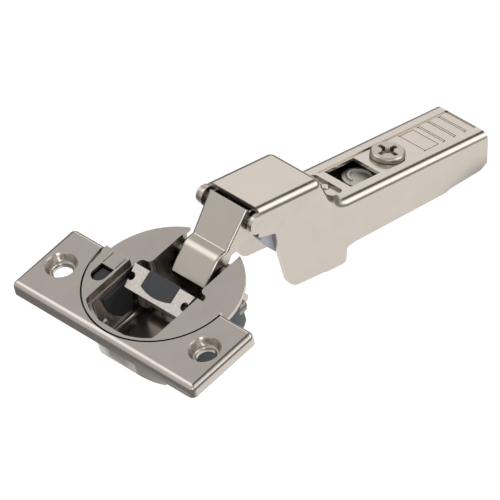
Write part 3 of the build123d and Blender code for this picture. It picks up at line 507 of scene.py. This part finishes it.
def linkEnvelope(look):
    # solid under the link's bent top with its two long edges rounded wide
    low, top = Vector(look["low"]), Vector(look["top"])
    radius = look["sideRound"]
    along = (top - low).normalized()
    across = Vector((-along.y, along.x))
    length = (top - low).length
    neck = (Vector(look["corners"][2]) - low).length
    shape = bmesh.new()
    rings = []
    for place in bentLine(look["corners"], look["radii"], look["steps"]):
        run = (place - low).dot(along)
        share = min(1.0, max(0.0, (run - neck) / (length - look["flareShort"] - neck)))
        half = look["lowHalf"] + (look["topHalf"] - look["lowHalf"]) * share + look["shave"]
        section = [(-half, -look["depth"])]
        for step in range(look["sideSteps"] + 1):
            turn = math.radians(180 - 90 * step / look["sideSteps"])
            side = -half + radius + radius * math.cos(turn)
            section.append((side, -radius + radius * math.sin(turn)))
        section += [(-side, drop) for side, drop in reversed(section)]
        ring = []
        for side, drop in section:
            spot = place + across * (drop - look["shave"])
            ring.append(shape.verts.new((side / 1000, spot.x / 1000, spot.y / 1000)))
        rings.append(ring)
    return skinned(rings, shape, "linkEnvelope")


def trim(piece, mesh):
    # the piece kept only where it lies within the closed mesh
    cutter = placed("cutter", mesh)
    cut = piece.modifiers.new("trim", "BOOLEAN")
    cut.operation = "INTERSECT"
    cut.solver = "EXACT"
    cut.object = cutter
    settle(piece)
    bpy.data.objects.remove(cutter)


plateLook = {  # in millimetres
    "low": (-28.44, -20.09, -4.0), "high": (28.44, 0.69, -0.012), "round": 1.5, "steps": 8,
}


def plateEnvelope(look):
    # block with its upright and its upper edges rounded wide
    shape = bmesh.new()
    bmesh.ops.create_cube(shape, size=1)
    for corner in shape.verts:
        for axis in range(3):
            corner.co[axis] = look["high" if corner.co[axis] > 0 else "low"][axis] / 1000
    middle = (look["low"][2] + look["high"][2]) / 2000
    edges = [edge for edge in shape.edges if any(corner.co.z > middle for corner in edge.verts)]
    reach = look["round"] / 1000
    bmesh.ops.bevel(shape, geom=edges, offset=reach, segments=look["steps"], profile=0.5, affect="EDGES")
    return meshOf(shape, "plateEnvelope")


envelopes = {"outer_link": linkEnvelope(linkLook), "flange_plate": plateEnvelope(plateLook)}
for name, look in edgeRounds.items():
    node = frame["nodes"][name]
    piece = placed(name + "Rounded", node.data.copy())
    weld(piece.data)
    if name in envelopes:
        trim(piece, envelopes[name])
        weld(piece.data)
    piece.data.materials.clear()
    piece.data.materials.append(node.material_slots[0].material)
    rounding = piece.modifiers.new("edgeRound", "BEVEL")
    rounding.width = look["radius"]
    rounding.segments = roundingLook["segments"]
    rounding.limit_method = "ANGLE"
    rounding.angle_limit = math.radians(look["angle"])
    settle(piece)
    piece.data.shade_smooth()
    piece.data.set_sharp_from_angle(angle=math.radians(roundingLook["sharpAngle"]))
    flats = piece.modifiers.new("flatFaces", "WEIGHTED_NORMAL")
    flats.keep_sharp = True
    flats.weight = 100
    settle(piece)
    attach(piece, body_of(node)[0])
    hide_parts(name)
print("edges rounded on", len(edgeRounds), "pieces")


recessLook = {  # floor of the crescent recess beside the cover's arc, in metres and degrees
    "inner": 0.0171, "outer": 0.01845, "from": 182.0, "to": 203.0,
    "top": -0.0006, "thick": 0.0003, "steps": 18,
}


def recessMesh(look):
    shape = bmesh.new()
    top, under = look["top"], look["top"] - look["thick"]
    section = ((look["inner"], top), (look["outer"], top), (look["outer"], under), (look["inner"], under))
    rings = []
    for step in range(look["steps"] + 1):
        turn = math.radians(look["from"] + (look["to"] - look["from"]) * step / look["steps"])
        spots = [(reach * math.cos(turn), reach * math.sin(turn), level) for reach, level in section]
        rings.append([shape.verts.new(spot) for spot in spots])
    return skinned(rings, shape, "recessFloor")


recess = placed("recessFloor", recessMesh(recessLook))
recess.data.materials.append(cupNickel)
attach(recess, "cup")
print("recess floor laid")


# wire coils and punched dots, by geometry nodes
def newTree(name, inputs):
    tree = bpy.data.node_groups.new(name, "GeometryNodeTree")
    for label, kind, value in [("Geometry", "NodeSocketGeometry", None)] + inputs:
        socket = tree.interface.new_socket(name=label, in_out="INPUT", socket_type=kind)
        if value is not None:
            socket.default_value = value
    tree.interface.new_socket(name="Geometry", in_out="OUTPUT", socket_type="NodeSocketGeometry")
    return tree, tree.nodes.new("NodeGroupInput"), tree.nodes.new("NodeGroupOutput")


def finishTree(tree, start, end, geometry):
    whole = tree.nodes.new("GeometryNodeRealizeInstances")
    coat = tree.nodes.new("GeometryNodeSetMaterial")
    tree.links.new(geometry, whole.inputs["Geometry"])
    tree.links.new(whole.outputs["Geometry"], coat.inputs["Geometry"])
    tree.links.new(start.outputs["Finish"], coat.inputs["Material"])
    tree.links.new(coat.outputs["Geometry"], end.inputs["Geometry"])


def makeCoilTree():
    tree, start, end = newTree("wireCoil", [
        ("Turns", "NodeSocketFloat", 2.0),
        ("Length", "NodeSocketFloat", 0.0015),
        ("Coil Radius", "NodeSocketFloat", 0.00175),
        ("Wire Radius", "NodeSocketFloat", 0.00034),
        ("Left Hand", "NodeSocketBool", False),
        ("Finish", "NodeSocketMaterial", None),
    ])
    coil = tree.nodes.new("GeometryNodeCurveSpiral")
    coil.inputs["Resolution"].default_value = 40
    tree.links.new(start.outputs["Turns"], coil.inputs["Rotations"])
    tree.links.new(start.outputs["Coil Radius"], coil.inputs["Start Radius"])
    tree.links.new(start.outputs["Coil Radius"], coil.inputs["End Radius"])
    tree.links.new(start.outputs["Length"], coil.inputs["Height"])
    tree.links.new(start.outputs["Left Hand"], coil.inputs["Reverse"])
    wire = tree.nodes.new("GeometryNodeCurvePrimitiveCircle")
    wire.inputs["Resolution"].default_value = 12
    tree.links.new(start.outputs["Wire Radius"], wire.inputs["Radius"])
    solid = tree.nodes.new("GeometryNodeCurveToMesh")
    tree.links.new(coil.outputs["Curve"], solid.inputs["Curve"])
    tree.links.new(wire.outputs["Curve"], solid.inputs["Profile Curve"])
    solid.inputs["Fill Caps"].default_value = True
    finishTree(tree, start, end, solid.outputs["Mesh"])
    return tree


def makeDotTree():
    tree, start, end = newTree("punchDots", [
        ("Dot Radius", "NodeSocketFloat", 0.00026),
        ("Flatness", "NodeSocketFloat", 0.22),
        ("Spread", "NodeSocketFloat", 0.15),
        ("Seed", "NodeSocketInt", 4),
        ("Finish", "NodeSocketMaterial", None),
    ])
    dot = tree.nodes.new("GeometryNodeMeshUVSphere")
    dot.inputs["Segments"].default_value = 12
    dot.inputs["Rings"].default_value = 6
    tree.links.new(start.outputs["Dot Radius"], dot.inputs["Radius"])
    size = tree.nodes.new("FunctionNodeRandomValue")
    size.data_type = "FLOAT"
    tree.links.new(start.outputs["Seed"], size.inputs["Seed"])
    low = tree.nodes.new("ShaderNodeMath")
    low.operation = "SUBTRACT"
    low.inputs[0].default_value = 1.0
    tree.links.new(start.outputs["Spread"], low.inputs[1])
    tree.links.new(low.outputs[0], size.inputs[2])
    size.inputs[3].default_value = 1.0
    scale = tree.nodes.new("ShaderNodeCombineXYZ")
    tree.links.new(size.outputs[1], scale.inputs["X"])
    tree.links.new(size.outputs[1], scale.inputs["Y"])
    tree.links.new(start.outputs["Flatness"], scale.inputs["Z"])
    spread = tree.nodes.new("GeometryNodeInstanceOnPoints")
    tree.links.new(start.outputs["Geometry"], spread.inputs["Points"])
    tree.links.new(dot.outputs["Mesh"], spread.inputs["Instance"])
    tree.links.new(scale.outputs[0], spread.inputs["Scale"])
    finishTree(tree, start, end, spread.outputs["Instances"])
    return tree


def grown(name, tree, values, points, place, body):
    # a piece made by the tree, settled to a plain mesh and put in its place
    mesh = bpy.data.meshes.new(name)
    mesh.from_pydata([tuple(point) for point in points], [], [])
    piece = placed(name, mesh)
    grower = piece.modifiers.new("grow", "NODES")
    grower.node_group = tree
    for item in tree.interface.items_tree:
        if item.in_out == "INPUT" and item.name in values:
            grower[item.identifier] = values[item.name]
    settle(piece)
    piece.data.transform(place)
    piece.data.shade_smooth()
    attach(piece, body)
    return piece


armStart = (0.02465, 0.0059)  # Y and Z of the open arm's own origin


def armPlace(along, above):
    # from the arm's own lengths, in metres, to the shared frame, turned as the open arm
    spot = Vector((
        0.0,
        armStart[0] + along * math.cos(armTilt) + above * math.sin(armTilt),
        armStart[1] - along * math.sin(armTilt) + above * math.cos(armTilt),
    ))
    return Matrix.Translation(spot) @ Matrix.Rotation(-armTilt, 4, "X")


coilTree = makeCoilTree()
dotTree = makeDotTree()
springLook = {
    "Turns": 2.0, "Length": 0.0015, "Coil Radius": 0.00175, "Wire Radius": 0.00034, "Finish": springWireAndShade,
}
springStart = {  # each coil's inner end on the outer cup pin
    "closing_spring_right": (0.005875, 0.0114, -0.0086),
    "closing_spring_left": (-0.005875, 0.0114, -0.0086),
}
for name, spot in springStart.items():
    leftHand = spot[0] < 0
    turned = Matrix.Rotation(math.radians(-90 if leftHand else 90), 4, "Y")
    place = Matrix.Translation(spot) @ turned
    values = dict(springLook, **{"Left Hand": leftHand})
    piece = grown(name + "Round", coilTree, values, [], place, body_of(frame["nodes"][name])[0])
    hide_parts(name)

# painted shade: a thin dark wire ring round the ledge rivet, standing in for the shaded gap that outlines
# it
shadeRingLook = {
    "Turns": 1.0, "Length": 0.0, "Coil Radius": 0.00112, "Wire Radius": 0.00013, "Finish": springWireAndShade,
}
grown("rivetShadeRing", coilTree, shadeRingLook, [], armPlace(0.0309, -0.00979), "arm")

# painted shade: the punched dimples given the dark wire finish, standing in for the shade inside them
dotLook = {"Dot Radius": 0.00026, "Flatness": 0.22, "Spread": 0.15, "Seed": 4, "Finish": springWireAndShade}
dotRows = {"side": 0.0041, "along": (0.0598, 0.0660, 0.0695, 0.0730), "above": -0.00945}
dotSides = (-dotRows["side"], dotRows["side"])
dotSpots = [(side, along, 0.0) for along in dotRows["along"] for side in dotSides]
grown("punchedDots", dotTree, dotLook, dotSpots, armPlace(0.0, dotRows["above"]), "arm")
print("coils, ring and dots grown")

cameraView = {  # three-quarter view, in the shared frame's metres
    "right": (0.7148, 0.6779, -0.1715),
    "back": (0.5653, -0.4159, 0.7124),
    "shift": (-0.019662, -0.006785),
    "distance": 1.77805,
    "lens": 576.26, "sensor": 36, "clipEnd": 20,
}


def cameraPlace(view):
    # from the view's three directions and its distance to the camera's own matrix
    right = Vector(view["right"]).normalized()
    back = Vector(view["back"])
    back = (back - back.dot(right) * right).normalized()
    up = back.cross(right)
    spot = -view["shift"][0] * right - view["shift"][1] * up + view["distance"] * back
    return Matrix((
        (right.x, up.x, back.x, spot.x),
        (right.y, up.y, back.y, spot.y),
        (right.z, up.z, back.z, spot.z),
        (0, 0, 0, 1),
    ))


camera = placed("camera", bpy.data.cameras.new("camera"))
camera.matrix_world = cameraPlace(cameraView)
camera.data.sensor_width = cameraView["sensor"]
camera.data.lens = cameraView["lens"]
camera.data.clip_end = cameraView["clipEnd"]
bpy.context.scene.camera = camera
print("camera set")

floorLook = {  # white sheet, seen at full glow and mirrored darker further out and in tight corners
    "size": 0.9, "gap": 0.0004, "colour": (0.86, 0.86, 0.86, 1.0),
    "glow": 1.00, "matte": 0.15, "shadeReach": 0.005,
    "glowNear": 0.076, "glowFar": 0.104, "glowLeast": 0.10, "glowMiddle": (0.015, 0.05, 0.0),
}


def floorMesh(look):
    half, level = look["size"] / 2, cadBox[0][2] - look["gap"]
    corners = [(-half, -half, level), (half, -half, level), (half, half, level), (-half, half, level)]
    mesh = bpy.data.meshes.new("studioFloor")
    mesh.from_pydata(corners, [], [(0, 1, 2, 3)])
    return mesh


def floorFinish(look):
    material = bpy.data.materials.new("floorWhite")
    material.use_nodes = True
    tree = material.node_tree
    tree.nodes.clear()
    output = tree.nodes.new("ShaderNodeOutputMaterial")
    path = tree.nodes.new("ShaderNodeLightPath")
    # its mirrored glow is lost under the hinge and away from the middle
    under = tree.nodes.new("ShaderNodeAmbientOcclusion")
    under.samples = 8
    under.inputs["Distance"].default_value = look["shadeReach"]
    hidden = mathNode(tree, "SUBTRACT", 1.0, under.outputs["AO"])
    places = tree.nodes.new("ShaderNodeTexCoord")
    away = tree.nodes.new("ShaderNodeVectorMath")
    away.operation = "DISTANCE"
    tree.links.new(places.outputs["Object"], away.inputs[0])
    away.inputs[1].default_value = look["glowMiddle"]
    most = 1 - look["glowLeast"]
    lost = mapRange(tree, away.outputs["Value"], look["glowNear"], look["glowFar"], 0.0, most)
    dark = mathNode(tree, "MAXIMUM", hidden, lost)
    dimmed = mathNode(tree, "MULTIPLY", dark, path.outputs["Is Glossy Ray"])
    kept = mathNode(tree, "SUBTRACT", 1.0, dimmed)
    glow = emitted(tree, "ShaderNodeEmission", mathNode(tree, "MULTIPLY", kept, look["glow"]))
    matte = tree.nodes.new("ShaderNodeBsdfDiffuse")
    matte.inputs["Color"].default_value = (look["matte"],) * 3 + (1,)
    seen = tree.nodes.new("ShaderNodeAddShader")
    tree.links.new(glow, seen.inputs[0])
    tree.links.new(matte.outputs[0], seen.inputs[1])
    # every other ray meets a plain matt white
    plain = tree.nodes.new("ShaderNodeBsdfDiffuse")
    plain.inputs["Color"].default_value = look["colour"]
    rays = path.outputs["Is Camera Ray"]
    for kind in ("Is Transmission Ray", "Is Glossy Ray"):
        rays = mathNode(tree, "MAXIMUM", rays, path.outputs[kind])
    surface = chosen(tree, rays, plain.outputs[0], seen.outputs[0])
    tree.links.new(surface, output.inputs["Surface"])
    return material


floor = placed("studioFloor", floorMesh(floorLook))
floor.data.materials.append(floorFinish(floorLook))
print("floor laid")

skyLook = {"level": 0.66, "least": 0.02, "dipHeight": 0.20, "dipLeast": 0.12}
skyLobes = {  # panels and gaps of the studio: aim, full inside near degrees and gone past far
    "backWall": {"aim": (-0.565, 0.776, 0.279), "near": 6, "far": 18, "gain": 0.56},
    "backGap": {"aim": (-0.13, 0.855, 0.50), "near": 7, "far": 18, "gain": -0.62},
    "backPanel": {"aim": (0.50, 0.79, 0.30), "near": 12, "far": 27, "gain": 1.4},
    "softBox": {"aim": (-0.56, -0.14, 0.815), "near": 4, "far": 24, "gain": 1.1},
    "frontWall": {"aim": (-0.565, -0.64, 0.52), "near": 8, "far": 20, "gain": 0.10},
    "topGap": {"aim": (0.12, 0.416, 0.90), "near": 7, "far": 22, "gain": -0.60},
    "rightPanel": {"aim": (0.82, 0.42, 0.38), "near": 8, "far": 24, "gain": 0.8},
    "linkGleam": {"aim": (0.80, -0.46, 0.33), "near": 6, "far": 18, "gain": 1.9},
    "leftGap": {"aim": (-0.93, -0.33, 0.17), "near": 8, "far": 26, "gain": -0.50},
    "leftWall": {"aim": (-0.90, 0.41, 0.12), "near": 10, "far": 24, "gain": -0.50},
}


def studioSky(look, lobes):
    world = bpy.data.worlds.new("studio")
    world.use_nodes = True
    tree = world.node_tree
    tree.nodes.clear()
    output = tree.nodes.new("ShaderNodeOutputWorld")
    coords = tree.nodes.new("ShaderNodeTexCoord")
    glow = look["level"]
    for lobe in lobes.values():
        facing = tree.nodes.new("ShaderNodeVectorMath")
        facing.operation = "DOT_PRODUCT"
        tree.links.new(coords.outputs["Generated"], facing.inputs[0])
        facing.inputs[1].default_value = Vector(lobe["aim"]).normalized()
        low, high = math.cos(math.radians(lobe["far"])), math.cos(math.radians(lobe["near"]))
        share = mapRange(tree, facing.outputs["Value"], low, high, 0.0, lobe["gain"])
        glow = mathNode(tree, "ADD", share, glow)
    # darker towards the horizon, as between a floor and its backdrop
    split = tree.nodes.new("ShaderNodeSeparateXYZ")
    tree.links.new(coords.outputs["Generated"], split.inputs[0])
    height = mathNode(tree, "ABSOLUTE", split.outputs["Z"])
    dip = mapRange(tree, height, 0.0, look["dipHeight"], look["dipLeast"], 1.0)
    glow = mathNode(tree, "MULTIPLY", glow, dip)
    soft = emitted(tree, "ShaderNodeBackground", mathNode(tree, "MAXIMUM", glow, look["least"]))
    white = emitted(tree, "ShaderNodeBackground", 1.0)
    path = tree.nodes.new("ShaderNodeLightPath")
    tree.links.new(chosen(tree, path.outputs["Is Camera Ray"], soft, white), output.inputs["Surface"])
    return world


bpy.context.scene.world = studioSky(skyLook, skyLobes)
print("studio sky built,", len(skyLobes), "panels and gaps")

lampTarget = (0.0, 0.03, -0.005)
lampLooks = {
    "keyLamp": {"place": (-0.504, -0.108, 0.738), "size": 0.46, "power": 0.35},
    "backLamp": {"place": (0.43, 0.72, 0.27), "size": 0.34, "power": 0.35},
    "fillLamp": {"place": (0.75, -0.35, 0.50), "size": 0.50, "power": 0.30},
}
for name, look in lampLooks.items():
    lamp = bpy.data.lights.new(name, "AREA")
    lamp.shape = "SQUARE"
    lamp.size = look["size"]
    lamp.energy = look["power"]
    holder = placed(name, lamp)
    holder.location = look["place"]
    aim = Vector(lampTarget) - Vector(look["place"])
    holder.rotation_euler = aim.to_track_quat("-Z", "Y").to_euler()
    holder.visible_glossy = False
bpy.context.scene.view_settings.view_transform = "Standard"
print("lamps set")
